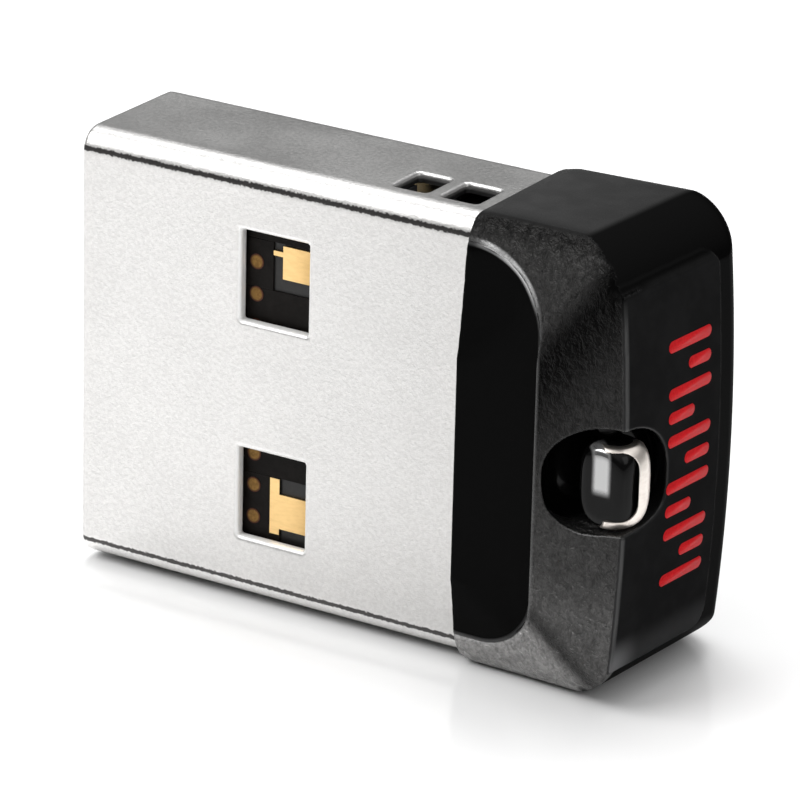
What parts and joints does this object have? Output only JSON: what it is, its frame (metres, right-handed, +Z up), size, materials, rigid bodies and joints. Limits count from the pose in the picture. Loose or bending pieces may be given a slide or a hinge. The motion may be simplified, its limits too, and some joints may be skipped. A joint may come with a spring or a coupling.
{
  "type": "usb flash drive",
  "caption": "Very short USB flash drive: satin steel type A plug with windows and side slots, and a black faceted cap with a finger scoop and a corner lanyard opening.",
  "frame": {"origin": "middle of the bottom of the bounding box, with the drive standing on its long narrow side", "axes": "+X along the drive from the open plug tip towards the cap, +Y from the scooped side to the back, +Z up across the width"},
  "size_m": [0.0172, 0.0062, 0.0123],
  "materials": {
    "shell_steel": "satin bead-blasted nickel-plated sheet steel",
    "cap_plastic": "black moulding, fine leather-like texture with a glossy finger scoop and lanyard opening",
    "carrier_plastic": "black heat-resistant plastic",
    "board_mask": "satin brown-black solder mask over laminate",
    "mould_epoxy": "matt black moulding compound",
    "silicon": "polished silicon",
    "ceramic": "fired ceramic",
    "resistor_body": "matt glaze",
    "contact_gold": "gold-plated copper alloy",
    "test_pad_gold": "thin dull gold over copper",
    "pad_gold": "bright gold plate"
  },
  "bodies": {
    "root": {"plug_shell": "shell_steel", "cap_housing": "cap_plastic", "carrier": "carrier_plastic", "module_board": "board_mask", "mould_body": "mould_epoxy", "memory_die_lower": "silicon", "memory_die_upper": "silicon", "controller_die": "silicon", "oscillator": "ceramic", "capacitor_1": "ceramic", "capacitor_2": "ceramic", "capacitor_3": "ceramic", "resistor_1": "resistor_body", "resistor_2": "resistor_body", "resistor_3": "resistor_body", "contact_1": "contact_gold", "contact_2": "contact_gold", "contact_3": "contact_gold", "contact_4": "contact_gold", "test_pad_1": "test_pad_gold", "test_pad_2": "test_pad_gold", "test_pad_3": "test_pad_gold", "test_pad_4": "test_pad_gold", "test_pad_5": "test_pad_gold", "test_pad_6": "test_pad_gold", "test_pad_7": "test_pad_gold", "test_pad_8": "test_pad_gold", "test_pad_9": "test_pad_gold", "gold_pad_upper": "pad_gold", "gold_pad_lower": "pad_gold"}
  },
  "joints": []
}
